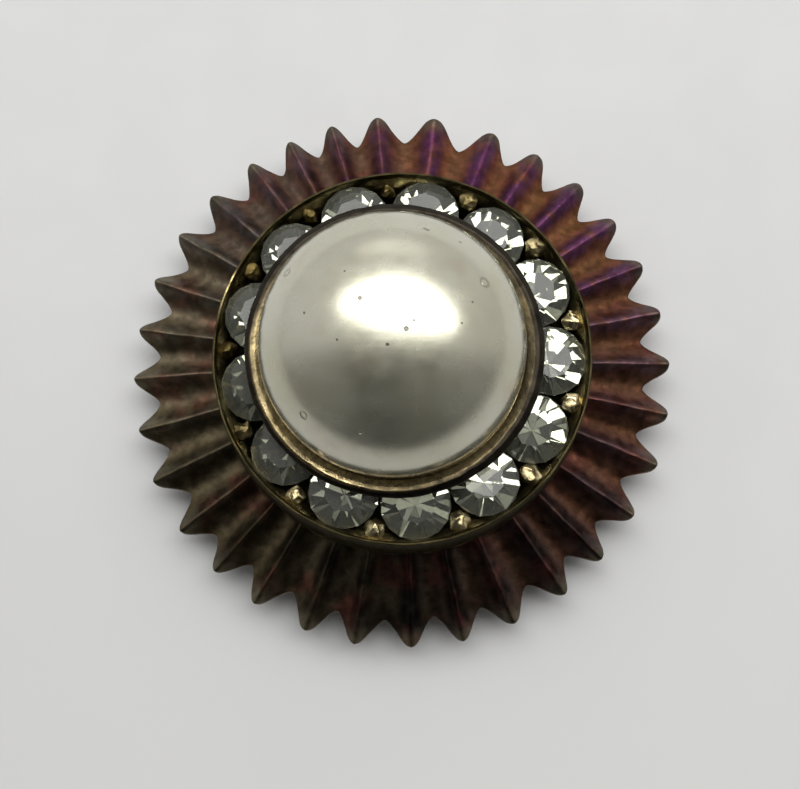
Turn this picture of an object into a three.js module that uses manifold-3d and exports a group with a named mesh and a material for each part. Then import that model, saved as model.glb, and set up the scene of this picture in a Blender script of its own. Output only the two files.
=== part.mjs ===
// A round jewelled badge: a fluted sunburst plate, a channel of thirteen clear stones,
// a domed pearl in a rolled collar, and a bar pin with a safety catch on the back.
// Millimetres. +Z points out of the badge's face. The origin is at the centre of the
// badge, on the surface that it lies on, and the bar pin runs along X.

import * as THREE from 'three';
import { mergeVertices } from 'three/addons/utils/BufferGeometryUtils.js';
import Module from 'manifold-3d';

const wasm = await Module();
wasm.setup();

// ---- Driving dimensions ----

const CLEARANCE = 0.02;          // between pieces that rest on each other
const RIVET_HOLE_RADIUS = 0.8;

// Sunburst plate
const FLUTES = 32;
const FLUTE_PHASE = 1.8;         // degrees from +X to the first ridge
const STEPS_PER_FLUTE = 6;
const TIP_RADIUS = 14;
const NOTCH_RADIUS = 12.55;
const NOTCH_ROUNDNESS = 1.35;    // above 1, the notches are wider than the points
const SHEET = 0.3;
const TIP_TOP = 2.25;            // height of the points' upper side
const RIDGE_SLOPE = 0.25;        // the ridges fall outward
const FLUTE_DEPTH_RATIO = 0.066; // depth of a flute over its radius
const FLAT_RADIUS = 8.9;         // the plate is flat inside this
const FLUTE_FULL_RADIUS = 9.4;

// Channel and stones
const STONES = 13;
const STONE_PHASE = -1.9;        // degrees from +X to the first stone
const STONE_RADIUS = 1.69;
const STONE_CIRCLE_RADIUS = 7.2;
const STONE_SIDES = 12;
const TABLE_RADIUS = 0.95;
const GIRDLE = 0.08;
const CROWN = 0.56;
const PAVILION = 1.46;
const STONE_TABLE_TOP = 7.1;
const CHANNEL_FOOT_RADIUS = 9.45;
const CHANNEL_RIM_RADIUS = 9.15;
const CHANNEL_BORE_RADIUS = 8.93;
const CHANNEL_RIM_TOP = 6.95;
const CHANNEL_FLOOR = 0.4;
const PRONG_RADIUS = 0.4;
const PRONG_CIRCLE_RADIUS = 8.6;
const PRONG_TOP = 6.7;

// Collar, cup and pearl, which sit a little off the plate's centre
const CENTRE_X = -0.36;
const CENTRE_Y = 0.06;
const PEDESTAL_RADIUS = 5.1;
const COLLAR_WALL = 0.35;
const COLLAR_RADIUS = 7.13;
const COLLAR_TOP = 8.3;
const COLLAR_STEP = 7.75;        // height of the step that the cup sits on
const COLLAR_BORE_RADIUS = 6.2;
const COLLAR_HOLE_RADIUS = 1.2;
const CUP_RADIUS = 6.16;
const CUP_TOP = 8.14;
const CUP_FLOOR = 0.15;
const CUP_WALL = 0.1;
const PEARL_RADIUS = 6.25;
const PEARL_SHIFT = -0.1;        // how far the pearl sits to the left of its collar's centre
const PEARL_EQUATOR = 9.05;
const PEARL_RISE = 4.6;          // from the equator to the top
const PEARL_TUCK = 2.8;          // upright radius of the dome below the equator

// Bar pin
const BAR_THICKNESS = 0.4;
const BAR_WIDTH = 3.6;
const BAR_HINGE_END = -8.3;
const BAR_CATCH_END = 7.4;
const PIN_HEIGHT = 1.2;          // height of the pin stem's axis
const HINGE_X = -7.2;
const EAR_WIDTH = 1.8;
const EAR_CORNER = 0.6;
const EAR_INNER_Y = 0.6;
const EAR_THICKNESS = 0.4;
const HINGE_PIN_RADIUS = 0.3;
const HINGE_CLEARANCE = 0.05;
const EYE_RADIUS = 0.85;
const EYE_WIDTH = 1.0;
const STEM_RADIUS = 0.3;
const STEM_TIP_X = 8.6;
const STEM_POINT = 2.2;          // length of the ground point
const HOUSING_START = 6.2;
const HOUSING_LENGTH = 1.2;
const HOUSING_HALF_WIDTH = 1.2;
const HOUSING_CORNER = 0.5;
const HOUSING_BORE_RADIUS = 0.86;
const MOUTH_WIDTH = 0.8;
const ROTOR_RADIUS = 0.8;
const ROTOR_BORE_RADIUS = 0.42;
const ROTOR_SLOT_WIDTH = 0.72;
const ROTOR_FLANGE = 0.25;
const ROTOR_FLANGE_RADIUS = 1.02;
const ROTOR_HEAD = 0.7;
const TAB_REACH = 1.55;
const TAB_WIDTH = 0.5;
const TAB_TILT = -10;            // degrees from +Y at rest

// ---- Materials ----

function metal(color, roughness) {
  return new THREE.MeshStandardMaterial({ color, roughness, metalness: 1 });
}

const oxidisedCopper = metal('#5a4334', 0.55);
const agedBrass = metal('#8a7846', 0.4);
const darkBronze = metal('#4a3f30', 0.35);
const steel = metal('#a9a9a6', 0.3);
const clearGlass = new THREE.MeshStandardMaterial({ color: '#dfe3dc', roughness: 0.05, metalness: 0 });
const pearlCoat = new THREE.MeshStandardMaterial({ color: '#d9d6c8', roughness: 0.2, metalness: 0 });

// ---- Helpers ----

const badge = new THREE.Group();

function addPart(name, geometry, material, parent = badge) {
  const mesh = new THREE.Mesh(geometry, material);
  mesh.name = name;
  parent.add(mesh);
  return mesh;
}

// Turns a profile of [radius, height] points about Z. It runs up the outside.
function turned(profile, segments) {
  const points = profile.map(([radius, height]) => new THREE.Vector2(radius, height));
  return new THREE.LatheGeometry(points, segments).rotateX(Math.PI / 2);
}

function ring(profile, segments) {
  return turned([...profile, profile[0]], segments);
}

function toSolid(geometry) {
  const bare = geometry.clone();
  bare.deleteAttribute('normal');
  bare.deleteAttribute('uv');
  const merged = mergeVertices(bare, 1e-4);
  return new wasm.Manifold(new wasm.Mesh({
    numProp: 3,
    vertProperties: new Float32Array(merged.attributes.position.array),
    triVerts: new Uint32Array(merged.index.array),
  }));
}

function toGeometry(solid) {
  const mesh = solid.getMesh();
  const geometry = new THREE.BufferGeometry();
  geometry.setAttribute('position', new THREE.BufferAttribute(mesh.vertProperties, 3));
  geometry.setIndex(new THREE.BufferAttribute(mesh.triVerts, 1));
  geometry.computeVertexNormals();
  return geometry;
}

function box(width, depth, height, x, y, z) {
  return new THREE.BoxGeometry(width, depth, height).translate(x, y, z);
}

// An outline in the YZ plane, extruded along +X from x = 0.
function extrudeAlongX(shape, length) {
  const geometry = new THREE.ExtrudeGeometry(shape, { depth: length, bevelEnabled: false, curveSegments: 6 });
  const turn = new THREE.Matrix4().makeBasis(
    new THREE.Vector3(0, 1, 0),
    new THREE.Vector3(0, 0, 1),
    new THREE.Vector3(1, 0, 0),
  );
  return geometry.applyMatrix4(turn);
}

// An outline in the XZ plane, extruded along +Y from y = 0.
function extrudeAlongY(shape, length) {
  const geometry = new THREE.ExtrudeGeometry(shape, { depth: length, bevelEnabled: false, curveSegments: 6 });
  return geometry.rotateX(Math.PI / 2).translate(0, length, 0);
}

// A tab that hangs from height top to height 0, with rounded lower corners.
function hangingTab(centre, halfWidth, top, corner) {
  const shape = new THREE.Shape();
  shape.moveTo(centre + halfWidth, top);
  shape.lineTo(centre - halfWidth, top);
  shape.lineTo(centre - halfWidth, corner);
  shape.absarc(centre - halfWidth + corner, corner, corner, Math.PI, 1.5 * Math.PI);
  shape.absarc(centre + halfWidth - corner, corner, corner, 1.5 * Math.PI, 2 * Math.PI);
  shape.closePath();
  return shape;
}

// ---- Sunburst plate ----

const plateTop = TIP_TOP + RIDGE_SLOPE * (TIP_RADIUS - FLAT_RADIUS);
const plateUnderside = plateTop - SHEET;

function fluteTop(radius, share) {
  if (radius < FLAT_RADIUS + 0.01) {
    return plateTop;
  }
  const valley = 1 - Math.abs(1 - 2 * share);
  return TIP_TOP + RIDGE_SLOPE * (TIP_RADIUS - radius) - FLUTE_DEPTH_RATIO * radius * valley;
}

function edgeRadius(share) {
  const point = (0.5 + 0.5 * Math.cos(2 * Math.PI * share)) ** NOTCH_ROUNDNESS;
  return NOTCH_RADIUS + (TIP_RADIUS - NOTCH_RADIUS) * point;
}

function sunburstPlate() {
  const lower = [RIVET_HOLE_RADIUS, FLAT_RADIUS, FLUTE_FULL_RADIUS, TIP_RADIUS].map((radius) => [radius, 0]);
  const upper = lower.map(([radius]) => [radius, SHEET]).reverse();
  const geometry = ring([...lower, ...upper], FLUTES * STEPS_PER_FLUTE);
  const position = geometry.attributes.position;
  for (let i = 0; i < position.count; i += 1) {
    const nominalRadius = Math.hypot(position.getX(i), position.getY(i));
    const angle = Math.atan2(position.getY(i), position.getX(i));
    const turns = (angle / (2 * Math.PI)) * FLUTES;
    const share = turns - Math.floor(turns + 1e-6);
    const onEdge = nominalRadius > TIP_RADIUS - 0.01;
    const radius = onEdge ? edgeRadius(share) : nominalRadius;
    const side = position.getZ(i) - SHEET;
    position.setXYZ(i, radius * Math.cos(angle), radius * Math.sin(angle), fluteTop(radius, share) + side);
  }
  return geometry.rotateZ(THREE.MathUtils.degToRad(FLUTE_PHASE));
}

addPart('sunburst_plate', sunburstPlate(), oxidisedCopper);

// ---- Stone channel, with its bead prongs ----

const channelBase = plateTop + CLEARANCE;
const channelFloorTop = channelBase + CHANNEL_FLOOR;
const stonePitch = (2 * Math.PI) / STONES;
const stoneStart = THREE.MathUtils.degToRad(STONE_PHASE);

function prong(angle) {
  const shoulder = PRONG_TOP - 0.3;
  const geometry = turned([
    [0, channelFloorTop - 0.1],
    [PRONG_RADIUS, channelFloorTop - 0.1],
    [PRONG_RADIUS, shoulder],
    [0.7 * PRONG_RADIUS, PRONG_TOP - 0.08],
    [0, PRONG_TOP],
  ], 8);
  return geometry.translate(PRONG_CIRCLE_RADIUS * Math.cos(angle), PRONG_CIRCLE_RADIUS * Math.sin(angle), 0);
}

function stoneChannel() {
  const rimWidth = 0.1;
  const bevel = 0.35;
  let solid = toSolid(ring([
    [RIVET_HOLE_RADIUS, channelBase],
    [CHANNEL_FOOT_RADIUS - 0.15, channelBase],
    [CHANNEL_FOOT_RADIUS, channelBase + 0.15],
    [CHANNEL_RIM_RADIUS, CHANNEL_RIM_TOP],
    [CHANNEL_RIM_RADIUS - rimWidth, CHANNEL_RIM_TOP],
    [CHANNEL_BORE_RADIUS, CHANNEL_RIM_TOP - bevel],
    [CHANNEL_BORE_RADIUS, channelFloorTop],
    [RIVET_HOLE_RADIUS, channelFloorTop],
  ], STONES * 6));
  for (let i = 0; i < STONES; i += 1) {
    solid = solid.add(toSolid(prong(stoneStart + (i + 0.5) * stonePitch)));
  }
  return toGeometry(solid);
}

addPart('stone_channel', stoneChannel(), agedBrass);

// ---- Stones ----

const stoneGeometry = turned([
  [0, -CROWN - GIRDLE - PAVILION],
  [STONE_RADIUS, -CROWN - GIRDLE],
  [STONE_RADIUS, -CROWN],
  [TABLE_RADIUS, 0],
  [0, 0],
], STONE_SIDES);

for (let i = 0; i < STONES; i += 1) {
  const angle = stoneStart + i * stonePitch;
  const name = `stone_${String(i + 1).padStart(2, '0')}`;
  const stone = addPart(name, stoneGeometry, clearGlass);
  stone.position.set(STONE_CIRCLE_RADIUS * Math.cos(angle), STONE_CIRCLE_RADIUS * Math.sin(angle), STONE_TABLE_TOP);
}

// ---- Collar, cup and pearl ----

const centre = new THREE.Group();
centre.position.set(CENTRE_X, CENTRE_Y, 0);
badge.add(centre);

const collarBase = channelFloorTop + CLEARANCE;
const collarFloorTop = collarBase + COLLAR_WALL;

addPart('pearl_collar', ring([
  [COLLAR_HOLE_RADIUS, collarBase],
  [PEDESTAL_RADIUS, collarBase],
  [PEDESTAL_RADIUS, COLLAR_STEP - 0.7],
  [PEDESTAL_RADIUS + 0.25, COLLAR_STEP - 0.45],
  [COLLAR_BORE_RADIUS, COLLAR_STEP - 0.25],
  [COLLAR_RADIUS - 0.2, COLLAR_STEP],
  [COLLAR_RADIUS, COLLAR_TOP - 0.25],
  [COLLAR_RADIUS - 0.1, COLLAR_TOP - 0.08],
  [COLLAR_RADIUS - 0.33, COLLAR_TOP],
  [COLLAR_RADIUS - 0.55, COLLAR_TOP - 0.08],
  [COLLAR_BORE_RADIUS, CUP_TOP - 0.15],
  [COLLAR_BORE_RADIUS, COLLAR_STEP],
  [PEDESTAL_RADIUS - COLLAR_WALL, COLLAR_STEP],
  [PEDESTAL_RADIUS - COLLAR_WALL, collarFloorTop],
  [COLLAR_HOLE_RADIUS, collarFloorTop],
], 60), darkBronze, centre);

const cupBase = COLLAR_STEP + CLEARANCE;
const cupFloorTop = cupBase + CUP_FLOOR;

addPart('pearl_cup', turned([
  [0, cupBase],
  [CUP_RADIUS, cupBase],
  [CUP_RADIUS, CUP_TOP - 0.05],
  [CUP_RADIUS - CUP_WALL / 2, CUP_TOP],
  [CUP_RADIUS - CUP_WALL, CUP_TOP - 0.05],
  [CUP_RADIUS - CUP_WALL, cupFloorTop],
  [0, cupFloorTop],
], 60), agedBrass, centre);

function pearlDome() {
  const base = cupFloorTop + CLEARANCE;
  const lowest = Math.asin((base - PEARL_EQUATOR) / PEARL_TUCK);
  const steps = 10;
  const profile = [[0, base]];
  for (let i = 0; i < steps; i += 1) {
    const slope = lowest + (Math.PI / 2 - lowest) * (i / steps);
    const upright = slope < 0 ? PEARL_TUCK : PEARL_RISE;
    profile.push([PEARL_RADIUS * Math.cos(slope), PEARL_EQUATOR + upright * Math.sin(slope)]);
  }
  profile.push([0, PEARL_EQUATOR + PEARL_RISE]);
  return turned(profile, 60);
}

const pearlCentre = new THREE.Group();
pearlCentre.position.set(CENTRE_X + PEARL_SHIFT, CENTRE_Y, 0);
badge.add(pearlCentre);
addPart('pearl', pearlDome(), pearlCoat, pearlCentre);

// ---- Centre rivet ----

const barTop = plateUnderside - CLEARANCE;
const barUnderside = barTop - BAR_THICKNESS;

function centreRivet() {
  const shank = RIVET_HOLE_RADIUS - 0.08;
  const tail = barUnderside - CLEARANCE;
  const headBase = collarFloorTop + CLEARANCE;
  return turned([
    [0, tail - 0.3],
    [1.0, tail - 0.3],
    [1.3, tail - 0.15],
    [1.3, tail],
    [shank, tail],
    [shank, headBase],
    [1.9, headBase],
    [1.9, headBase + 0.2],
    [1.5, headBase + 0.4],
    [0, headBase + 0.4],
  ], 24);
}

addPart('centre_rivet', centreRivet(), agedBrass);

// ---- Pin bar, with its two hinge ears ----

function barOutline() {
  const corner = 0.8;
  const half = BAR_WIDTH / 2;
  const shape = new THREE.Shape();
  shape.absarc(BAR_CATCH_END - corner, half - corner, corner, 0, 0.5 * Math.PI);
  shape.absarc(BAR_HINGE_END + corner, half - corner, corner, 0.5 * Math.PI, Math.PI);
  shape.absarc(BAR_HINGE_END + corner, corner - half, corner, Math.PI, 1.5 * Math.PI);
  shape.absarc(BAR_CATCH_END - corner, corner - half, corner, 1.5 * Math.PI, 2 * Math.PI);
  shape.closePath();
  const hole = new THREE.Path();
  hole.absarc(0, 0, RIVET_HOLE_RADIUS, 0, 2 * Math.PI, true);
  shape.holes.push(hole);
  return shape;
}

function ear(side) {
  const shape = hangingTab(HINGE_X, EAR_WIDTH / 2, barUnderside + 0.1, EAR_CORNER);
  const hole = new THREE.Path();
  hole.absarc(HINGE_X, PIN_HEIGHT, HINGE_PIN_RADIUS + HINGE_CLEARANCE, 0, 2 * Math.PI, true);
  shape.holes.push(hole);
  const start = side > 0 ? EAR_INNER_Y : -EAR_INNER_Y - EAR_THICKNESS;
  return extrudeAlongY(shape, EAR_THICKNESS).translate(0, start, 0);
}

function pinBar() {
  const plate = new THREE.ExtrudeGeometry(barOutline(), {
    depth: BAR_THICKNESS,
    bevelEnabled: false,
    curveSegments: 6,
  }).translate(0, 0, barUnderside);
  return toGeometry(toSolid(plate).add(toSolid(ear(1))).add(toSolid(ear(-1))));
}

addPart('pin_bar', pinBar(), agedBrass);

// ---- Hinge rivet ----

function hingeRivet() {
  const inner = EAR_INNER_Y + EAR_THICKNESS + CLEARANCE;
  const outer = inner + 0.25;
  const head = HINGE_PIN_RADIUS + 0.22;
  return turned([
    [0, -outer],
    [0.6 * head, -outer],
    [head, -inner - 0.1],
    [head, -inner],
    [HINGE_PIN_RADIUS, -inner],
    [HINGE_PIN_RADIUS, inner],
    [head, inner],
    [head, inner + 0.1],
    [0.6 * head, outer],
    [0, outer],
  ], 16).rotateX(Math.PI / 2);
}

const rivet = addPart('hinge_rivet', hingeRivet(), steel);
rivet.position.set(HINGE_X, 0, PIN_HEIGHT);

// ---- Pin stem: its frame is at the hinge, and it lies along +X ----

function pinStem() {
  const length = STEM_TIP_X - HINGE_X;
  const start = EYE_RADIUS - 0.2;
  const wire = turned([
    [0, start],
    [STEM_RADIUS, start],
    [STEM_RADIUS, length - STEM_POINT],
    [0.6 * STEM_RADIUS, length - 0.4 * STEM_POINT],
    [0, length],
  ], 12).rotateY(Math.PI / 2);
  const hole = HINGE_PIN_RADIUS + HINGE_CLEARANCE;
  const eye = ring([
    [hole, -EYE_WIDTH / 2],
    [EYE_RADIUS, -EYE_WIDTH / 2],
    [EYE_RADIUS, EYE_WIDTH / 2],
    [hole, EYE_WIDTH / 2],
  ], 20).rotateX(Math.PI / 2);
  return toGeometry(toSolid(wire).add(toSolid(eye)));
}

const stem = addPart('pin_stem', pinStem(), steel);
stem.position.set(HINGE_X, 0, PIN_HEIGHT);

// ---- Safety catch: the housing is fixed to the bar, and the rotor turns in it about X ----

function catchHousing() {
  const shape = hangingTab(0, HOUSING_HALF_WIDTH, barUnderside - CLEARANCE, HOUSING_CORNER);
  const bore = new THREE.Path();
  bore.absarc(0, PIN_HEIGHT, HOUSING_BORE_RADIUS, 0, 2 * Math.PI, true);
  shape.holes.push(bore);
  const body = toSolid(extrudeAlongX(shape, HOUSING_LENGTH));
  const mouth = toSolid(box(2 * HOUSING_LENGTH, MOUTH_WIDTH, PIN_HEIGHT + 1, HOUSING_LENGTH / 2, 0, PIN_HEIGHT / 2 - 0.5));
  return toGeometry(body.subtract(mouth));
}

const housing = addPart('catch_housing', catchHousing(), agedBrass);
housing.position.set(HOUSING_START, 0, 0);

function catchRotor() {
  const inner = -CLEARANCE * 2;
  const outer = HOUSING_LENGTH + CLEARANCE * 2;
  const start = inner - ROTOR_FLANGE;
  const end = outer + ROTOR_HEAD;
  const sleeve = ring([
    [ROTOR_BORE_RADIUS, start],
    [ROTOR_FLANGE_RADIUS, start],
    [ROTOR_FLANGE_RADIUS, inner],
    [ROTOR_RADIUS, inner],
    [ROTOR_RADIUS, outer],
    [ROTOR_FLANGE_RADIUS, outer],
    [ROTOR_FLANGE_RADIUS, end],
    [ROTOR_BORE_RADIUS, end],
  ], 24).rotateY(Math.PI / 2);
  const tabStart = ROTOR_BORE_RADIUS + 0.1;
  const tabLength = TAB_REACH - tabStart;
  const tab = box(ROTOR_HEAD, tabLength, TAB_WIDTH, outer + ROTOR_HEAD / 2, tabStart + tabLength / 2, 0);
  tab.rotateX(THREE.MathUtils.degToRad(TAB_TILT));
  const slot = box(4 * HOUSING_LENGTH, 2, ROTOR_SLOT_WIDTH, HOUSING_LENGTH / 2, -1, 0);
  return toGeometry(toSolid(sleeve).add(toSolid(tab)).subtract(toSolid(slot)));
}

const rotor = addPart('catch_rotor', catchRotor(), agedBrass);
rotor.position.set(HOUSING_START, 0, PIN_HEIGHT);

export default badge;
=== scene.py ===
"""Looks for the jewelled sunburst badge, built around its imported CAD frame.

Shapes are worked out in millimetres in the part's own frame, and make_piece() turns them into metres.
"""

import math
import random

import bpy
import numpy as np
from mathutils import Matrix, Vector, noise


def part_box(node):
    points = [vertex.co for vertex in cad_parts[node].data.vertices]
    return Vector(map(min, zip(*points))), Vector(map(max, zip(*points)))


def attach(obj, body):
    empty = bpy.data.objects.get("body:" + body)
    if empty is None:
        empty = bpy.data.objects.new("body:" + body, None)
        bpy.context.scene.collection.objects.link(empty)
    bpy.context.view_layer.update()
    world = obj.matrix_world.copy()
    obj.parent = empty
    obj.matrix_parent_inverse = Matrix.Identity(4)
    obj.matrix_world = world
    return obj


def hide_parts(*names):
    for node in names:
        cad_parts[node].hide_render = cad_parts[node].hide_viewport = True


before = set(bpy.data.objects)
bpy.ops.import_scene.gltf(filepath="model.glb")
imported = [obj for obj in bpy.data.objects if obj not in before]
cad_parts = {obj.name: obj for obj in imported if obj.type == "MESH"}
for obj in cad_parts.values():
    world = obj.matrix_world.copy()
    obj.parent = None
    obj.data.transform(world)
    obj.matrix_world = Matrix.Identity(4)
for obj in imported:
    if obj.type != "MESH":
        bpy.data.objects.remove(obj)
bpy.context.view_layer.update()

# Without a seed of its own, noise_vector() would give other lumps each run.
noise.seed_set(1)

MM = 0.001
TURN = 2 * math.pi
EVERY_EDGE = 0.01
NO_EDGE = math.pi


def node_box(name):
    """The lowest and highest corner of a CAD node, in millimetres."""
    low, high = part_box(name)
    return low / MM, high / MM


# ---- Dimensions, worked out from the frame where it gives them ----

channel_low, channel_high = node_box("stone_channel")
collar_low, collar_high = node_box("pearl_collar")
cup_low, cup_high = node_box("pearl_cup")
pearl_low, pearl_high = node_box("pearl")

FLUTES = 32
FLUTE_PHASE = math.radians(1.8)
COLUMNS_PER_FLUTE = 30
TIP_RADIUS = 14.06
NOTCH_RADIUS = 12.6
NOTCH_SHARPNESS = 1.55
POINT_SHOULDER = 0.8
BLUNT_SHOULDER = 0.7
RIDGE_ROUNDING = 0.14
SOFT_RIDGE_ROUNDING = 0.42
SHEET = 0.3
RIM_ROUNDING = 0.09
TIP_TOP = 2.25
RIDGE_SLOPE = 0.25
FLUTE_DEPTH_RATIO = 0.06
FLAT_RADIUS = 8.9
FLUTE_START = 0.6
FLUTE_LEAN = 0.035
SIDE_SHORTENING = 0.12
BEND_START = 11.5
BEND_END = 14
HOLE_RADIUS = 0.8

TRAY_FLOOR = 0.4
PRONG_CIRCLE = 8.47

STONES = 13
STONE_PHASE = math.radians(-1.9)
STONE_CIRCLE = 7.22
STONE_RADIUS = 1.71
STONE_DROP = 0.06
TABLE_RADIUS = 0.95
CROWN = 0.56
GIRDLE = 0.06
PAVILION = 1.62
FOIL_START = 0.04
FOIL_OUTER_GAP = 0.015
FOIL_INNER_GAP = -0.01
STONE_TOP = node_box("stone_01")[1].z

CENTRE = (collar_low + collar_high) / 2
CUP_SPREAD = 0.07
PEARL_CENTRE = (pearl_low + pearl_high) / 2
PEARL_RADIUS = (pearl_high.x - pearl_low.x) / 2
PEARL_RISE = 4.6
PEARL_TUCK = 2.8

# Where wear and handling show, and where painted highlights lie on the rim, prongs and collar, as degrees
# anticlockwise from the right.
BLUNT_POINTS_HEADING = 48
CROWDED_FLUTES_HEADING = 93
CROWDED_FLUTES_SPREAD = 20
CROWDED_FLUTES_SHIFT = 3.3
RIM_GLINT_HEADING = 157
RIM_GLINT_SPREAD = 6
BRIGHT_PRONGS_HEADING = -40
BRIGHT_COLLAR_HEADING = 228

# How far the stones lean, in degrees: towards the back on the whole, and each a little its own way.
STONE_LEAN = 3
STONE_LEAN_SPREAD = 4
STONE_SIDE_LEAN_SPREAD = 4.5

PLATE_SEED = 5
PRONG_SEED = 41
STONE_SEED = 7
PIT_SEED = 64
RING_SEED = 67

FLOOR_RADIUS = 700
FLOOR_THICKNESS = 0.5
FLOOR_COLUMNS = 96


# ---- Mesh helpers ----


def rounded(corners, steps=5):
    """A closed outline of (x, y, radius) corners, with an arc of that radius at each."""
    outline = []
    for i, (x, y, radius) in enumerate(corners):
        here = Vector((x, y))
        if radius == 0:
            outline.append((x, y))
            continue
        to_before = (Vector(corners[i - 1][:2]) - here).normalized()
        to_after = (Vector(corners[(i + 1) % len(corners)][:2]) - here).normalized()
        half = to_before.angle(to_after) / 2
        middle = here + (to_before + to_after).normalized() * radius / math.sin(half)
        first = here + to_before * radius / math.tan(half) - middle
        last = here + to_after * radius / math.tan(half) - middle
        begin = math.atan2(first.y, first.x)
        sweep = (math.atan2(last.y, last.x) - begin + math.pi) % TURN - math.pi
        for step in range(steps + 1):
            angle = begin + sweep * step / steps
            outline.append((middle.x + radius * math.cos(angle),
                            middle.y + radius * math.sin(angle)))
    return outline


def loft(rings, closed=False):
    """Skins rings of points that go anticlockwise. A ring of one point is a pole."""
    starts = np.cumsum([0] + [len(ring) for ring in rings])
    pairs = [(i, i + 1) for i in range(len(rings) - 1)]
    if closed:
        pairs.append((len(rings) - 1, 0))
    faces = []
    for a, b in pairs:
        count = max(len(rings[a]), len(rings[b]))
        for j in range(count):
            k = (j + 1) % count
            lower = [starts[a]] if len(rings[a]) == 1 else [starts[a] + j, starts[a] + k]
            upper = [starts[b]] if len(rings[b]) == 1 else [starts[b] + k, starts[b] + j]
            faces.append([int(index) for index in lower + upper])
    return np.vstack(rings), faces


def turned(profile, columns, centre=(0, 0)):
    """Turns (radius, height) points about an upright axis. The profile runs up the outside."""
    angle = np.arange(columns) * TURN / columns
    rings = []
    for radius, height in profile:
        if radius < 1e-6:
            rings.append(np.array([[centre[0], centre[1], height]]))
            continue
        x = centre[0] + radius * np.cos(angle)
        y = centre[1] + radius * np.sin(angle)
        rings.append(np.column_stack([x, y, np.full(columns, height)]))
    return loft(rings, closed=profile[0][0] > 1e-6)


def lumpy(points, size, height, seed):
    """Moves each point a little, by smooth noise whose lumps are about that size."""
    moved = np.array(points, float)
    offset = Vector((seed * 7.3, seed * 3.1, seed * 5.7))
    for i, point in enumerate(moved):
        shift = noise.noise_vector(Vector(point) / size + offset)
        moved[i] = point + height * np.array(shift)
    return moved


def ease(value, start, end):
    """The value's place between start and end, from 0 to 1, with a soft begin and end."""
    share = np.clip((value - start) / (end - start), 0, 1)
    return share * share * (3 - 2 * share)


def link(name, data):
    """A new object of the scene that shows that data."""
    item = bpy.data.objects.new(name, data)
    bpy.context.scene.collection.objects.link(item)
    return item


def make_piece(name, shape, material, body, replaced=(), sharp=math.radians(40)):
    """A mesh object from a shape in millimetres. Edges sharper than that angle stay crisp."""
    points, faces = shape
    mesh = bpy.data.meshes.new(name)
    mesh.from_pydata((np.asarray(points, float) * MM).tolist(), [], faces)
    mesh.validate()
    mesh.shade_smooth()
    mesh.set_sharp_from_angle(angle=sharp)
    mesh.materials.append(material)
    piece = link(name, mesh)
    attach(piece, body)
    if replaced:
        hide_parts(*replaced)
    return piece


def mark(piece, name, values):
    """Gives each point of a piece a number that its material reads."""
    attribute = piece.data.attributes.new(name, "FLOAT", "POINT")
    attribute.data.foreach_set("value", np.asarray(values, np.float32))


# ---- Material helper ----


def colour(code):
    """A linear RGBA colour from a display colour such as #8a7846."""
    shares = [int(code[i:i + 2], 16) / 255 for i in (1, 3, 5)]
    linear = [s / 12.92 if s < 0.04045 else ((s + 0.055) / 1.055) ** 2.4 for s in shares]
    return (*linear, 1)


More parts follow.
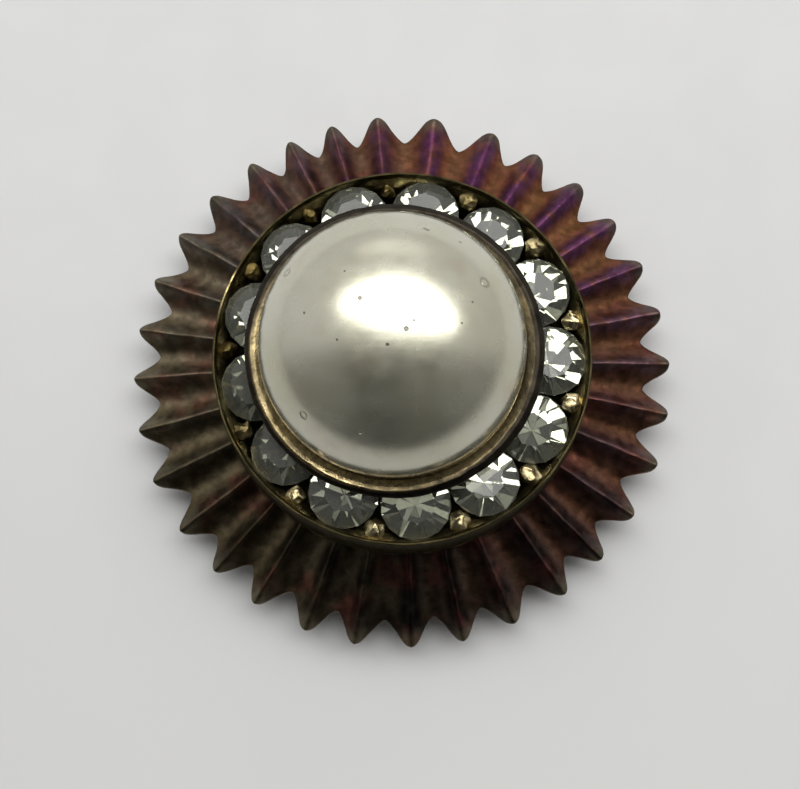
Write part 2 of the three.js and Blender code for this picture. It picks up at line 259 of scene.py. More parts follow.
class Surface:
    """A material with one principled shader, whose nodes are added one call at a time."""

    def __init__(self, name, **constants):
        self.material = bpy.data.materials.new(name)
        self.material.use_nodes = True
        self.tree = self.material.node_tree
        self.tree.nodes.clear()
        self.shader = self.add("ShaderNodeBsdfPrincipled")
        output = self.add("ShaderNodeOutputMaterial")
        self.tree.links.new(self.shader.outputs["BSDF"], output.inputs["Surface"])
        self.place = self.add("ShaderNodeTexCoord").outputs["Object"]
        for socket, value in constants.items():
            self.shader.inputs[socket.replace("_", " ")].default_value = value

    def add(self, kind, inputs=(), **settings):
        """A new node of that kind. Each input gets a value or another node's output."""
        node = self.tree.nodes.new(kind)
        for name, value in settings.items():
            setattr(node, name, value)
        for socket, value in dict(inputs).items():
            self.plug(node.inputs[socket], value)
        return node

    def plug(self, socket, value):
        if isinstance(value, bpy.types.NodeSocket):
            self.tree.links.new(value, socket)
        else:
            socket.default_value = value

    def set(self, socket, value):
        """Gives the shader's socket a value or a node's output."""
        self.plug(self.shader.inputs[socket], value)

    def noise(self, size, detail=4.0, seed=0.0, stretch=(1, 1, 1)):
        """Smooth noise from 0 to 1, whose lumps are about size millimetres."""
        mapping = self.add("ShaderNodeMapping", {"Vector": self.place, "Scale": stretch})
        mapping.inputs["Location"].default_value = (seed * MM, seed * MM * 2, seed * MM * 3)
        inputs = {"Vector": mapping.outputs[0], "Scale": 1 / (size * MM), "Detail": detail}
        return self.add("ShaderNodeTexNoise", inputs).outputs[0]

    def read(self, name):
        """The number that mark() gave each point of the piece."""
        return self.add("ShaderNodeAttribute", attribute_name=name).outputs["Fac"]

    def math(self, operation, a, b=0.0, clamp=False):
        node = self.add("ShaderNodeMath", operation=operation, use_clamp=clamp)
        self.plug(node.inputs[0], a)
        self.plug(node.inputs[1], b)
        return node.outputs[0]

    def span(self, value, start, end, low=0.0, high=1.0):
        """The value's place between start and end, eased, as a number from low to high."""
        inputs = {"Value": value, "From Min": start, "From Max": end, "To Min": low, "To Max": high}
        return self.add("ShaderNodeMapRange", inputs, interpolation_type="SMOOTHSTEP").outputs[0]

    def mix(self, share, a, b, blend="MIX"):
        """Colour a where the share is 0 and colour b where it is 1."""
        node = self.add("ShaderNodeMix", data_type="RGBA", blend_type=blend)
        self.plug(node.inputs[0], share)
        self.plug(node.inputs[6], a)
        self.plug(node.inputs[7], b)
        return node.outputs[2]

    def ramp(self, value, stops):
        """A colour for the value, from (place, colour code) stops."""
        node = self.add("ShaderNodeValToRGB", {"Fac": value})
        elements = node.color_ramp.elements
        while len(elements) < len(stops):
            elements.new(0.5)
        for element, (place, code) in zip(elements, stops):
            element.position = place
            element.color = colour(code)
        return node.outputs["Color"]

    def bump(self, height, depth):
        """Surface relief whose full height is depth millimetres."""
        inputs = {"Height": height, "Distance": depth * MM, "Strength": 1.0}
        self.set("Normal", self.add("ShaderNodeBump", inputs).outputs["Normal"])


# ---- Materials ----


def oxidised_copper():
    """Fluted copper under a thin oxide film: violet ridges and orange flanks, grey, and dark in front,
    where the darkness is painted shade. The valleys are painted darker on the right and behind and lighter
    at the left and in front, as painted shade and painted light.

    The compass runs anticlockwise from 0 on the left, through 0.25 in front, 0.5 on the right and
    0.75 behind, back to 1 on the left.
    """
    s = Surface("oxidised_copper")
    parts = s.add("ShaderNodeSeparateXYZ", {"Vector": s.place})
    heading = s.math("ARCTAN2", parts.outputs["Y"], parts.outputs["X"])
    compass = s.math("ADD", s.math("DIVIDE", heading, TURN), 0.5)
    wander = s.math("MULTIPLY", s.math("SUBTRACT", s.noise(3.0, 2.0, 4.0), 0.5), 0.12)
    compass = s.math("ADD", compass, wander)
    # Flank colours round the compass: oxide tones, with the dark stops in front painted shade.
    flank = s.ramp(compass, [
        (0.0, "#665c46"), (0.1, "#5c513c"), (0.25, "#3d362c"), (0.37, "#604840"), (0.48, "#7c5645"),
        (0.58, "#784c38"), (0.7, "#784834"), (0.8, "#664539"), (0.9, "#5a4b3e"), (1.0, "#665c46"),
    ])
    # Valley colours: painted shade, darker than the flanks on the right and behind, and painted light,
    # lighter at the left and in front.
    valley_painted_shading = s.ramp(compass, [
        (0.0, "#6e6450"), (0.12, "#6a5f48"), (0.25, "#453d32"), (0.37, "#56392b"), (0.5, "#5a3c2a"),
        (0.62, "#6a472b"), (0.74, "#65442f"), (0.83, "#54443a"), (0.9, "#564a3e"), (1.0, "#6e6450"),
    ])
    # Ridge colours: violet oxide on the right, and a near-black stop in front that is painted shade.
    crest = s.ramp(compass, [
        (0.0, "#716a56"), (0.1, "#48412f"), (0.25, "#1d1916"), (0.37, "#3c3230"), (0.5, "#6c5255"),
        (0.6, "#653c5e"), (0.7, "#5c3154"), (0.78, "#5a3444"), (0.89, "#57504e"), (1.0, "#716a56"),
    ])
    ridge = s.read("ridge")
    flank = s.mix(s.span(ridge, 0.5, 0.12), flank, valley_painted_shading)
    blotch = s.noise(1.3, 5.0, 9.0)
    crested = s.math("MULTIPLY", s.span(ridge, 0.4, 0.8), s.span(blotch, 0.3, 0.55), clamp=True)
    base = s.mix(crested, flank, crest)
    red = s.math("MULTIPLY", s.span(s.noise(2.1, 3.0, 21.0), 0.5, 0.72), 0.55)
    base = s.mix(red, base, colour("#6e3a34"))
    outer = s.span(s.read("reach"), 0.78, 0.98)
    tip = s.math("MULTIPLY", outer, s.span(s.noise(1.6, 3.0, 33.0), 0.2, 0.5))
    base = s.mix(s.math("MULTIPLY", tip, 0.8), base, colour("#6a6552"))
    shade = s.span(s.noise(0.55, 6.0, 41.0), 0.3, 0.72, 0.62, 1.12)
    shade = s.math("MULTIPLY", shade, s.read("tint"))
    grey = s.add("ShaderNodeCombineColor", {"Red": shade, "Green": shade, "Blue": shade})
    base = s.mix(1.0, base, grey.outputs[0], "MULTIPLY")
    # A lighter ridge line, kept to the left and front-left: worn metal, and there partly a painted
    # highlight.
    worn = s.math("MULTIPLY", s.span(ridge, 0.84, 0.97), s.span(s.noise(0.8, 3.0, 52.0), 0.3, 0.6))
    front = s.span(compass, 0.16, 0.04, 0.0, 0.3)
    base = s.mix(s.math("MULTIPLY", worn, front), base, colour("#8d7c6c"))
    grime = s.span(s.noise(0.22, 2.0, 61.0), 0.64, 0.76)
    base = s.mix(s.math("MULTIPLY", grime, 0.5), base, colour("#1b1512"))
    s.set("Base Color", base)
    s.set("Metallic", s.span(s.noise(1.0, 4.0, 71.0), 0.3, 0.7, 1.0, 0.86))
    s.set("Roughness", s.span(s.noise(0.7, 5.0, 81.0), 0.3, 0.7, 0.28, 0.48))
    grain = s.math("ADD", s.noise(0.6, 4.0, 91.0), s.math("MULTIPLY", s.noise(0.12, 2.0, 95.0), 0.12))
    s.bump(grain, 0.028)
    return s.material


def tarnished_brass(name, dark, mid, bright, roughness, wear_from=0.5, spread=0.1):
    """Brass under a dark film, worn bright where a piece is marked worn; on the rim, prongs and collar
    that mark also carries painted highlights. More spread wears more of it.
    """
    s = Surface(name, Metallic=1.0)
    film = s.noise(0.9, 5.0, 3.0)
    base = s.ramp(film, [(0.25, dark), (0.5, mid), (0.78, mid)])
    patch = s.span(s.noise(2.6, 5.0, 13.0), 0.42, 0.6, spread, 1.0)
    patch = s.math("MULTIPLY", patch, s.noise(0.3, 3.0, 19.0))
    patch = s.math("MULTIPLY", patch, 1.8)
    share = s.math("MULTIPLY", s.span(s.read("worn"), wear_from, 1.0), patch, clamp=True)
    base = s.mix(share, base, colour(bright))
    grime = s.span(s.noise(0.18, 2.0, 23.0), 0.62, 0.74)
    base = s.mix(s.math("MULTIPLY", grime, 0.6), base, colour("#15110b"))
    s.set("Base Color", base)
    dull = s.span(s.noise(0.5, 4.0, 31.0), 0.3, 0.7, roughness * 1.2, roughness * 1.7)
    s.set("Roughness", s.math("SUBTRACT", dull, s.math("MULTIPLY", share, roughness * 0.75)))
    relief = s.math("ADD", s.noise(0.4, 4.0, 43.0), s.math("MULTIPLY", s.noise(0.09, 3.0, 53.0), 0.3))
    s.bump(relief, 0.03)
    return s.material


def stone_glass():
    """Clear lead glass, a little green, with a thin haze of wear on its facets."""
    s = Surface("stone_glass", Transmission_Weight=0.93, IOR=1.58)
    s.set("Base Color", s.ramp(s.noise(2.5, 2.0, 5.0), [(0.3, "#f6f8ec"), (0.7, "#eef2e0")]))
    s.set("Roughness", s.span(s.noise(0.4, 4.0, 15.0), 0.6, 0.9, 0.0, 0.05))
    s.bump(s.noise(0.8, 2.0, 25.0), 0.001)
    return s.material


def stone_foil():
    """The silvered foil behind a stone, with brown spots where it has aged."""
    s = Surface("stone_foil", Metallic=1.0)
    silver = s.ramp(s.noise(1.0, 4.0, 7.0), [(0.3, "#dfe0d6"), (0.55, "#ecede6"), (0.8, "#f5f6f2")])
    aged = s.span(s.noise(0.35, 5.0, 17.0), 0.58, 0.74)
    s.set("Base Color", s.mix(s.math("MULTIPLY", aged, 0.5), silver, colour("#8f8a72")))
    s.set("Roughness", s.span(s.noise(0.3, 4.0, 27.0), 0.55, 0.85, 0.0, 0.15))
    s.bump(s.noise(0.6, 2.0, 37.0), 0.002)
    return s.material


def scattered_spots(s, seed, count, small, large):
    """One where a small round spot lies on the pearl's dome, for that many spots set out at random."""
    pick = random.Random(seed)
    found = 0.0
    for _ in range(count):
        heading = pick.uniform(0, TURN)
        away = PEARL_RADIUS * pick.uniform(0.1, 0.93)
        height = pearl_high.z - PEARL_RISE * (1 - math.sqrt(1 - (away / PEARL_RADIUS) ** 2))
        aside = Vector((away * math.cos(heading), away * math.sin(heading), 0))
        spot = (Vector((PEARL_CENTRE.x, PEARL_CENTRE.y, height)) + aside) * MM
        gap = s.add("ShaderNodeVectorMath", {0: s.place, 1: spot}, operation="DISTANCE").outputs["Value"]
        size = pick.uniform(small, large) * MM
        found = s.math("MAXIMUM", found, s.span(gap, size, size * 0.6))
    return found


def pearl_coat():
    """Pearl lacquer over a dome, with dark pits, a few ring marks and hairline scratches."""
    s = Surface("pearl_coat", Coat_Weight=0.4, Coat_Roughness=0.08)
    base = s.ramp(s.noise(4.5, 3.0, 2.0), [(0.3, "#c2bfa8"), (0.55, "#cccab8"), (0.8, "#d6d5c7")])
    stain = s.span(s.noise(2.6, 4.0, 12.0), 0.56, 0.75)
    base = s.mix(s.math("MULTIPLY", stain, 0.3), base, colour("#b09a86"))
    pits = scattered_spots(s, PIT_SEED, 13, 0.04, 0.11)
    blobs = scattered_spots(s, RING_SEED, 3, 0.26, 0.34)
    middles = scattered_spots(s, RING_SEED, 3, 0.15, 0.2)
    rings = s.math("SUBTRACT", blobs, middles, clamp=True)
    base = s.mix(s.math("MULTIPLY", pits, 0.7), base, colour("#3a362c"))
    base = s.mix(s.math("MULTIPLY", rings, 0.45), base, colour("#5c4a38"))
    s.set("Base Color", base)
    s.set("Metallic", s.span(s.noise(3.0, 3.0, 42.0), 0.3, 0.7, 0.74, 0.84))
    s.set("Roughness", s.span(s.noise(0.9, 5.0, 52.0), 0.3, 0.7, 0.2, 0.28))
    hair = s.noise(0.5, 2.0, 62.0, (0.25, 1.6, 1))
    dents = s.math("ADD", pits, s.math("MULTIPLY", rings, 0.5))
    height = s.math("SUBTRACT", s.math("MULTIPLY", hair, 0.06), dents)
    s.bump(height, 0.045)
    return s.material


def drawn_steel():
    """Drawn steel wire with fine lengthwise lines and a few dull spots."""
    s = Surface("drawn_steel", Metallic=1.0)
    base = s.ramp(s.noise(0.8, 4.0, 6.0), [(0.3, "#8f8c86"), (0.55, "#adaba6"), (0.8, "#c3c2bd")])
    rust = s.span(s.noise(0.3, 5.0, 16.0), 0.66, 0.8)
    s.set("Base Color", s.mix(s.math("MULTIPLY", rust, 0.6), base, colour("#5b4030")))
    s.set("Roughness", s.span(s.noise(0.4, 4.0, 26.0, (0.1, 1, 1)), 0.3, 0.7, 0.18, 0.4))
    s.bump(s.noise(0.12, 3.0, 36.0, (0.06, 1, 1)), 0.008)
    return s.material


def floor_paper():
    """Plain pale paper."""
    s = Surface("floor_paper")
    s.set("Base Color", s.ramp(s.noise(60.0, 3.0, 1.0), [(0.3, "#d9d9da"), (0.7, "#dfdfdf")]))
    s.set("Roughness", s.span(s.noise(4.0, 3.0, 2.0), 0.3, 0.7, 0.55, 0.7))
    return s.material


COPPER = oxidised_copper()
CHANNEL_BRASS = tarnished_brass("channel_brass", "#221e13", "#3d3722", "#b3a171", 0.36, 0.5, 0.08)
PRONG_BRASS = tarnished_brass("prong_brass", "#3c3420", "#6f6038", "#efdfb0", 0.3, 0.3, 0.6)
COLLAR_BRONZE = tarnished_brass("collar_bronze", "#1f1c16", "#36312a", "#e2cb98", 0.27, 0.35, 0.5)
CUP_BRASS = tarnished_brass("cup_brass", "#8a6c38", "#b8965a", "#f0dca8", 0.24, 0.2, 0.5)
HARDWARE_BRASS = tarnished_brass("hardware_brass", "#4c4026", "#7f6f42", "#b9a469", 0.38)
GLASS = stone_glass()
FOIL = stone_foil()
PEARL = pearl_coat()
STEEL = drawn_steel()


# ---- Sunburst plate ----


def sunburst_plate():
    """The pressed sheet: sharp ridges, round flutes and scalloped points, each a little uneven.

    A share runs from 0 on one ridge to 1 on the next. The points of the edge are on the ridges.
    """
    pick = random.Random(PLATE_SEED)

    def for_each_flute(least, most):
        return np.array([pick.uniform(least, most) for _ in range(FLUTES)])

    shift = for_each_flute(-0.045, 0.045)
    sideways = np.abs(np.cos(FLUTE_PHASE + np.arange(FLUTES) * TURN / FLUTES))
    short = for_each_flute(0.0, 0.06) + SIDE_SHORTENING * sideways ** 2
    notch = for_each_flute(-0.1, 0.1)
    depth = for_each_flute(0.9, 1.1)
    lift = for_each_flute(-0.14, 0.1)
    tint = for_each_flute(0.86, 1.1)

    columns = FLUTES * COLUMNS_PER_FLUTE
    column = np.arange(columns)
    first = column // COLUMNS_PER_FLUTE
    second = (first + 1) % FLUTES
    share = (column % COLUMNS_PER_FLUTE) / COLUMNS_PER_FLUTE

    def between(values):
        """Each column's share of what its two neighbouring ridges have."""
        return values[first] * (1 - share) + values[second] * share

    angle = FLUTE_PHASE + (first + share + between(shift)) * TURN / FLUTES
    crowding = np.exp(-((np.degrees(angle) - CROWDED_FLUTES_HEADING) / CROWDED_FLUTES_SPREAD) ** 2)
    angle = angle + math.radians(CROWDED_FLUTES_SHIFT) * crowding
    rubbed = (0.5 + 0.5 * np.cos(angle - math.radians(BLUNT_POINTS_HEADING))) ** 2
    shoulder = POINT_SHOULDER + (BLUNT_SHOULDER - POINT_SHOULDER) * rubbed
    rounding = RIDGE_ROUNDING + (SOFT_RIDGE_ROUNDING - RIDGE_ROUNDING) * rubbed
    point = (np.abs(1 - 2 * share) / shoulder) ** NOTCH_SHARPNESS
    point = point / (1 + point ** 6) ** (1 / 6)
    tip = TIP_RADIUS - between(short)
    edge = NOTCH_RADIUS + notch[first] * (1 - point) + (tip - NOTCH_RADIUS) * point
    lopsided = share + FLUTE_LEAN * np.sin(TURN * share)
    flute = np.sin(math.pi * lopsided)
    flute = (np.sqrt(flute ** 2 + rounding ** 2) - rounding) / (1 - 0.6 * rounding) * depth[first]
    cosine = np.cos(angle)
    sine = np.sin(angle)

    def top(radius):
        """The height of the sheet's upper side, for one radius per column."""
        fluted = ease(radius, FLAT_RADIUS, FLAT_RADIUS + FLUTE_START)
        crest = TIP_TOP + RIDGE_SLOPE * (TIP_RADIUS - np.maximum(radius, FLAT_RADIUS))
        bent = between(lift) * ease(radius, BEND_START, BEND_END)
        return crest - FLUTE_DEPTH_RATIO * radius * flute * fluted + bent

    flat_rows = [HOLE_RADIUS, 3.0, 6.0, 8.4]
    upper_shares = np.linspace(0, 1, 46) ** 0.9
    lower_shares = np.linspace(0, 1, 24)
    inset = edge - RIM_ROUNDING
    rings = []
    reach = []

    def add(radius, height):
        """One more ring of the sheet, with how far out it is."""
        radius = np.broadcast_to(radius, columns)
        rings.append(np.column_stack([radius * cosine, radius * sine, height]))
        reach.append((radius - FLAT_RADIUS) / (TIP_RADIUS - FLAT_RADIUS))

    for radius in flat_rows:
        add(radius, top(np.full(columns, radius)) - SHEET)
    for part in lower_shares:
        radius = FLAT_RADIUS + (inset - FLAT_RADIUS) * part
        add(radius, top(radius) - SHEET)
    for step in range(1, 8):
        swing = math.pi * step / 8
        add(inset + RIM_ROUNDING * math.sin(swing), top(inset) - SHEET / 2 * (1 + math.cos(swing)))
    for part in upper_shares[::-1]:
        radius = FLAT_RADIUS + (inset - FLAT_RADIUS) * part
        add(radius, top(radius))
    for radius in flat_rows[::-1]:
        add(radius, top(np.full(columns, radius)))
    points, faces = loft(rings, closed=True)
    moved = lumpy(points, 1.4, 0.035, 3)
    moved = lumpy(moved, 0.45, 0.012, 4)
    piece = make_piece("sunburst_sheet", (moved, faces), COPPER, "badge",
                       ["sunburst_plate"], sharp=NO_EDGE)
    rows = len(rings)
    reach = np.concatenate(reach)
    fluted = ease(reach, 0, 0.1)
    mark(piece, "ridge", 0.3 + (np.tile(np.abs(1 - 2 * share), rows) - 0.3) * fluted)
    mark(piece, "tint", np.tile(between(tint), rows))
    mark(piece, "reach", reach)
    return piece


# ---- Stone channel and its prongs ----


def worn_by_height(piece, start, end):
    """Marks points above start as more and more worn, up to end, in millimetres."""
    heights = np.array([vertex.co.z for vertex in piece.data.vertices]) / MM
    mark(piece, "worn", np.clip((heights - start) / (end - start), 0, 1))


def stone_channel():
    """A dark brass tray: a wall with a thin rim, and a ledge inside that rises between the stones."""
    base = channel_low.z
    rim = channel_high.z
    profile = rounded([
        (HOLE_RADIUS, base, 0), (9.42, base, 0.1), (9.3, base + 0.55, 0.4), (9.16, rim, 0.05),
        (9.05, rim, 0.04), (8.94, rim - 0.42, 0.2), (8.6, rim - 0.95, 0.15), (8.45, rim - 1.4, 0.1),
        (8.45, base + TRAY_FLOOR, 0), (HOLE_RADIUS, base + TRAY_FLOOR, 0),
    ])
    points, faces = turned(profile, 416)
    points = lumpy(points, 1.1, 0.03, 8)
    heading = np.arctan2(points[:, 1], points[:, 0])
    reach = np.hypot(points[:, 0], points[:, 1])
    gap = np.clip(-np.cos(STONES * (heading - STONE_PHASE)), 0, 1)
    seat = ease(reach, 8.3, 8.5) * ease(reach, 9.0, 8.85)
    seat = seat * ease(points[:, 2], base + 0.9, rim - 1.5)
    points[:, 2] = np.minimum(points[:, 2] + 0.5 * gap * seat, rim)
    piece = make_piece("channel_tray", (points, faces), CHANNEL_BRASS, "badge",
                       ["stone_channel"])
    rim_wear = np.clip((points[:, 2] - rim + 0.1) / 0.1, 0, 1) * (reach > 9.0)
    ledge = (reach < 9.0) & (points[:, 2] > rim - 1.5)
    # A painted highlight: the rim is marked more worn, so brighter, round RIM_GLINT_HEADING.
    painted_glint = np.exp(-((np.degrees(heading) - RIM_GLINT_HEADING) / RIM_GLINT_SPREAD) ** 2)
    mark(piece, "worn", np.maximum((0.6 + 0.4 * painted_glint) * rim_wear, 0.86 * ledge))
    return piece


def prong(number, pick):
    """A pinched bead that holds two stones, on a short post against the channel's wall."""
    angle = STONE_PHASE + (number + 0.5) * TURN / STONES
    low = channel_low.z + TRAY_FLOOR - 0.05
    top = channel_high.z - pick.uniform(0.0, 0.16)
    bright_side = 0.5 + 0.5 * math.cos(angle - math.radians(BRIGHT_PRONGS_HEADING))
    wide = pick.uniform(0.4, 0.46) + 0.12 * bright_side
    profile = rounded([
        (0, low, 0), (0.3, low, 0), (0.28, top - 0.95, 0.15), (wide, top - 0.55, 0.14),
        (wide * 0.9, top - 0.18, 0.14), (wide * 0.35, top, 0.1), (0, top - 0.02, 0),
    ])
    points, faces = turned(profile, 28)
    squash = Matrix.Diagonal((pick.uniform(0.9, 1.15), pick.uniform(0.85, 1.0), 1.0))
    points = np.array([squash @ Vector(point) for point in points])
    points = lumpy(points, 0.4, 0.2, 20 + number)
    place = Matrix.Rotation(angle, 3, "Z")
    points = np.array([place @ (Vector(point) + Vector((PRONG_CIRCLE, 0, 0))) for point in points])
    points[:, 2] = np.minimum(points[:, 2], channel_high.z)
    piece = make_piece(f"prong_{number + 1:02d}", (points, faces), PRONG_BRASS, "badge")
    # Worn tops, brighter towards BRIGHT_PRONGS_HEADING, where that brightening is a painted highlight.
    mark(piece, "worn", 0.25 + 0.75 * bright_side * np.clip((points[:, 2] - top + 0.6) / 0.4, 0, 1))
    return piece


# ---- Stones and their foils ----


def corners_at(height, radius, count, turn):
    """A level ring of corners, the first of them that share of a step round from the X axis."""
    angles = (np.arange(count) + turn) * TURN / count
    return np.column_stack([radius * np.cos(angles), radius * np.sin(angles), np.full(count, height)])


def stone_shape():
    """An octagonal table, eight crown facets with eight small ones between, and a pointed back."""
    girdle_top = -CROWN
    girdle_low = -CROWN - GIRDLE
    table = corners_at(0, TABLE_RADIUS, 8, 0.5)
    upper = corners_at(girdle_top, STONE_RADIUS, 16, 0.5)
    lower = corners_at(girdle_low, STONE_RADIUS, 16, 0.5)
    points = np.vstack([table, upper, lower, [[0, 0, girdle_low - PAVILION]]])
    back = len(points) - 1

    def on_upper(step):
        return 8 + step % 16

    def on_lower(step):
        return 24 + step % 16

    faces = [list(range(8))]
    for i in range(8):
        left = 2 * i + 1
        faces.append([i, on_upper(left), on_upper(left + 1), (i + 1) % 8])
        faces.append([i, on_upper(left - 1), on_upper(left)])
        faces.append([on_lower(left + 2), on_lower(left), back])
        faces.append([on_lower(left + 2), on_lower(left + 1), on_lower(left)])
    for j in range(16):
        faces.append([on_upper(j), on_lower(j), on_lower(j + 1), on_upper(j + 1)])
    return points, faces


def foil_shape():
    """A thin shell bonded to the stone's back. Its mirror side lies just inside the glass."""
    low = -CROWN - GIRDLE

    def cone(gap):
        radius = (STONE_RADIUS + gap) * (1 - FOIL_START / PAVILION)
        tip = np.array([[0, 0, low - PAVILION - gap]])
        return tip, corners_at(low - FOIL_START, radius, 8, 0.75)

    outer_tip, outer_ring = cone(FOIL_OUTER_GAP)
    inner_tip, inner_ring = cone(FOIL_INNER_GAP)
    return loft([outer_tip, outer_ring, inner_ring, inner_tip])


def stones():
    """The ring of stones and their foils. Each stone has its own turn, and leans about its girdle."""
    pick = random.Random(STONE_SEED)
    stone_points, stone_faces = stone_shape()
    foil_points, foil_faces = foil_shape()
    to_girdle = Matrix.Translation((0, 0, CROWN))
    for number in range(STONES):
        angle = STONE_PHASE + number * TURN / STONES
        spin = Matrix.Rotation(pick.uniform(0, TURN / 8), 4, "Z")
        back = math.radians(STONE_LEAN + pick.uniform(-STONE_LEAN_SPREAD, STONE_LEAN_SPREAD))
        aside = math.radians(pick.uniform(-STONE_SIDE_LEAN_SPREAD, STONE_SIDE_LEAN_SPREAD))
        lean = Matrix.Rotation(back, 4, "X") @ Matrix.Rotation(aside, 4, "Y")
        girdle = Matrix.Translation((
            STONE_CIRCLE * math.cos(angle), STONE_CIRCLE * math.sin(angle), STONE_TOP - STONE_DROP - CROWN,
        ))
        place = girdle @ lean @ to_girdle @ spin
        stone = [place @ Vector(point) for point in stone_points], stone_faces
        foil = [place @ Vector(point) for point in foil_points], foil_faces
        ending = f"{number + 1:02d}"
        make_piece("chaton_" + ending, stone, GLASS, "badge",
                   ["stone_" + ending], sharp=EVERY_EDGE)
        make_piece("foil_" + ending, foil, FOIL, "badge", sharp=EVERY_EDGE)


# ---- Collar, cup and pearl ----


def pearl_collar():
    """A rolled bronze ring on a pedestal: a worn crest, and a shallow slope in to the pearl. Both are
    brightest towards the lower left, a painted highlight, and the slope is kept light, partly as a painted
    reflection of the pearl.
    """
    outer = (collar_high.x - collar_low.x) / 2
    base = collar_low.z
    top = collar_high.z
    profile = rounded([
        (1.2, base, 0), (5.1, base, 0.1), (5.1, top - 1.2, 0.3), (6.3, top - 0.85, 0.4),
        (outer - 0.1, top - 0.6, 0.25), (outer, top - 0.22, 0.12), (outer - 0.32, top, 0.17),
        (6.6, top - 0.04, 0.12), (6.25, top - 0.14, 0.05), (6.25, top - 0.55, 0),
        (4.75, top - 0.55, 0.05), (4.75, base + 0.35, 0.05), (1.2, base + 0.35, 0),
    ])
    points, faces = turned(profile, 384, (CENTRE.x, CENTRE.y))
    points = lumpy(points, 0.8, 0.03, 14)
    points[:, 2] = np.minimum(points[:, 2], top)
    piece = make_piece("collar_ring", (points, faces), COLLAR_BRONZE, "badge",
                       ["pearl_collar"], sharp=math.radians(60))
    heading = np.arctan2(points[:, 1], points[:, 0])
    # Crest marked worn, most towards BRIGHT_COLLAR_HEADING, where that is a painted highlight; the inner
    # slope marked worn, partly as a painted reflection of the pearl.
    bright_side = (0.5 + 0.5 * np.cos(heading - math.radians(BRIGHT_COLLAR_HEADING))) ** 2.6
    crest = np.clip((points[:, 2] - top + 0.16) / 0.16, 0, 1)
    inner = np.hypot(points[:, 0] - CENTRE.x, points[:, 1] - CENTRE.y) < outer - 0.5
    mark(piece, "worn", np.maximum(crest * (0.1 + 0.9 * bright_side), inner * (0.52 + 0.48 * bright_side)))
    return piece


def pearl_cup():
    """The thin brass dish whose lip shows round the foot of the pearl."""
    radius = (cup_high.x - cup_low.x) / 2 + CUP_SPREAD
    base = cup_low.z
    top = cup_high.z + CUP_SPREAD
    profile = rounded([
        (0, base, 0), (radius - 0.07, base, 0.05), (radius, top, 0.045), (radius - 0.1, top, 0.045),
        (radius - 0.1, base + 0.15, 0.03), (0, base + 0.15, 0),
    ])
    points, faces = turned(profile, 256, (CENTRE.x, CENTRE.y))
    piece = make_piece("cup_lip", (points, faces), CUP_BRASS, "badge", ["pearl_cup"])
    worn_by_height(piece, top - 0.1, top)
    return piece


def pearl():
    """A domed pearl, round in plan, whose sides tuck in below the widest part to fit the cup."""
    base = pearl_low.z
    top = pearl_high.z
    equator = top - PEARL_RISE
    lowest = math.asin((base - equator) / PEARL_TUCK)
    steps = 72
    profile = [(0, base)]
    for i in range(steps):
        slope = lowest + (math.pi / 2 - lowest) * i / steps
        rise = PEARL_TUCK if slope < 0 else PEARL_RISE
        profile.append((PEARL_RADIUS * math.cos(slope), equator + rise * math.sin(slope)))
    profile.append((0, top))
    points, faces = turned(profile, 192, (PEARL_CENTRE.x, PEARL_CENTRE.y))
    points = lumpy(points, 2.6, 0.012, 31)
    points[:, 2] = np.clip(points[:, 2], base, top)
    return make_piece("pearl_dome", (points, faces), PEARL, "badge", ["pearl"],
                      sharp=math.radians(60))


# ---- Bar pin: CAD pieces, with softened edges and their own finishes ----


def soften(name, material, width):
    """Shows a CAD node with rounded edges and that material."""
    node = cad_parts[name]
    node.data.materials.clear()
    node.data.materials.append(material)
    bevel = node.modifiers.new("soft_edges", "BEVEL")
    bevel.width = width * MM
    bevel.segments = 3
    bevel.limit_method = "ANGLE"
    bevel.angle_limit = math.radians(35)
    node.data.shade_smooth()
    node.data.set_sharp_from_angle(angle=math.radians(35))
    mark(node, "worn", np.full(len(node.data.vertices), 0.3))


# ---- Build ----

sunburst_plate()
stone_channel()
prong_pick = random.Random(PRONG_SEED)
for prong_number in range(STONES):
    prong(prong_number, prong_pick)
stones()
pearl_collar()
pearl_cup()
pearl()
soften("pin_bar", HARDWARE_BRASS, 0.06)
soften("centre_rivet", HARDWARE_BRASS, 0.05)
soften("hinge_rivet", STEEL, 0.04)
soften("pin_stem", STEEL, 0.05)
soften("catch_housing", HARDWARE_BRASS, 0.06)
soften("catch_rotor", HARDWARE_BRASS, 0.04)


# ---- Floor, lights and camera ----


def floor():
    """A wide round slab, whose top is at zero height."""
    profile = [(FLOOR_RADIUS, -FLOOR_THICKNESS), (FLOOR_RADIUS, 0), (0, 0)]
    points, faces = turned(profile, FLOOR_COLUMNS)
    mesh = bpy.data.meshes.new("floor")
    mesh.from_pydata((points * MM).tolist(), [], faces)
    mesh.materials.append(floor_paper())
    plane = link("floor", mesh)


def area_light(name, place, size, power, tint):
    """An oval light, aimed at the foot of the badge. Place and size are in metres, power in watts."""
    data = bpy.data.lights.new(name, "AREA")
    data.shape = "ELLIPSE"
    data.size, data.size_y = size
    data.energy = power
    data.color = tint
    light = link(name, data)
    light.location = place
    light.rotation_euler = (-Vector(place)).to_track_quat("-Z", "Y").to_euler()


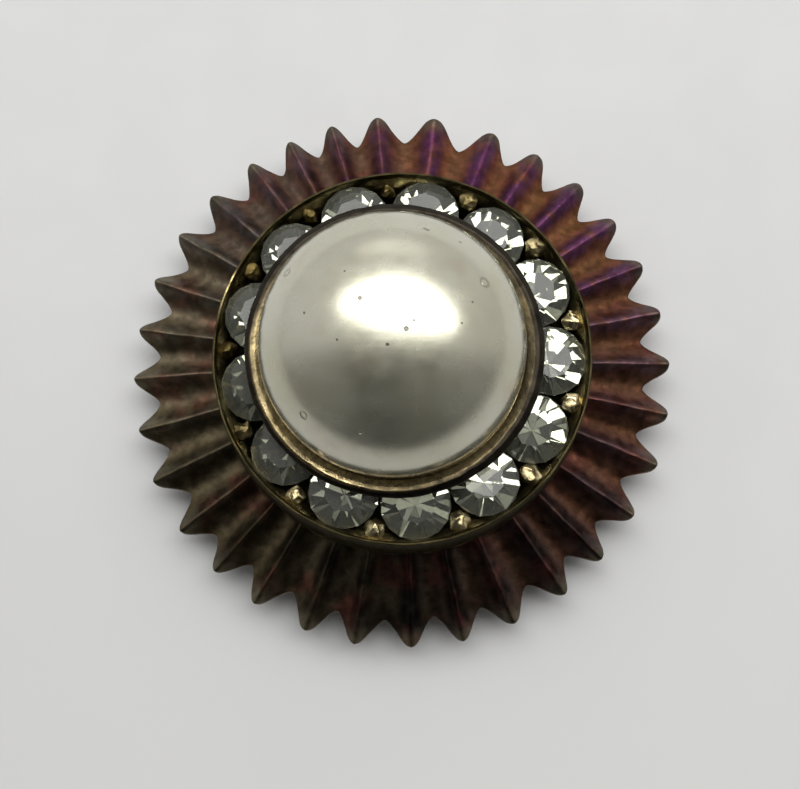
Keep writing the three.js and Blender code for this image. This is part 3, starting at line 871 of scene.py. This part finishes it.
def room_light():
    """A soft room: bright behind the badge, dark in front of it and dim at its sides."""
    world = bpy.data.worlds.new("room")
    world.use_nodes = True
    tree = world.node_tree
    tree.nodes.clear()

    def add(kind, **settings):
        node = tree.nodes.new(kind)
        for name, value in settings.items():
            setattr(node, name, value)
        return node

    def ramp(value, **limits):
        node = add("ShaderNodeMapRange", interpolation_type="SMOOTHSTEP")
        for name, limit in limits.items():
            node.inputs[name.replace("_", " ")].default_value = limit
        tree.links.new(value, node.inputs["Value"])
        return node

    direction = add("ShaderNodeSeparateXYZ")
    tree.links.new(add("ShaderNodeTexCoord").outputs["Generated"], direction.inputs[0])
    aside = add("ShaderNodeMath", operation="ABSOLUTE")
    tree.links.new(direction.outputs["X"], aside.inputs[0])
    sides = ramp(aside.outputs[0], From_Min=0.3, From_Max=0.85, To_Min=0.02, To_Max=0.14)
    ahead = ramp(direction.outputs["Y"], From_Min=-0.28, From_Max=0.12, To_Max=0.56)
    tree.links.new(sides.outputs[0], ahead.inputs["To Min"])
    background = add("ShaderNodeBackground")
    background.inputs["Color"].default_value = (1.0, 0.99, 0.96, 1)
    tree.links.new(ahead.outputs[0], background.inputs["Strength"])
    output = add("ShaderNodeOutputWorld")
    tree.links.new(background.outputs[0], output.inputs["Surface"])
    bpy.context.scene.world = world


def camera():
    """A close view from nearly overhead, a little in front."""
    elevation = math.radians(80)
    distance = 65
    target = Vector((-0.11, -1.15, 2.25))
    away = Vector((0, -math.cos(elevation), math.sin(elevation)))
    data = bpy.data.cameras.new("camera")
    data.lens = 56.6
    data.sensor_width = 36
    data.clip_start = 0.001
    data.clip_end = 10
    view = link("camera", data)
    view.location = (target + away * distance) * MM
    view.rotation_euler = away.to_track_quat("Z", "Y").to_euler()
    bpy.context.scene.camera = view


floor()
area_light("window", place=(0.018, 0.106, 0.24), size=(0.42, 0.185), power=0.6, tint=(1.0, 1.0, 0.98))
area_light("doorway", place=(0, 0.42, 0.16), size=(0.3, 0.13), power=0.06, tint=(1.0, 0.98, 0.94))
room_light()
camera()

bpy.context.scene.view_settings.view_transform = "Standard"
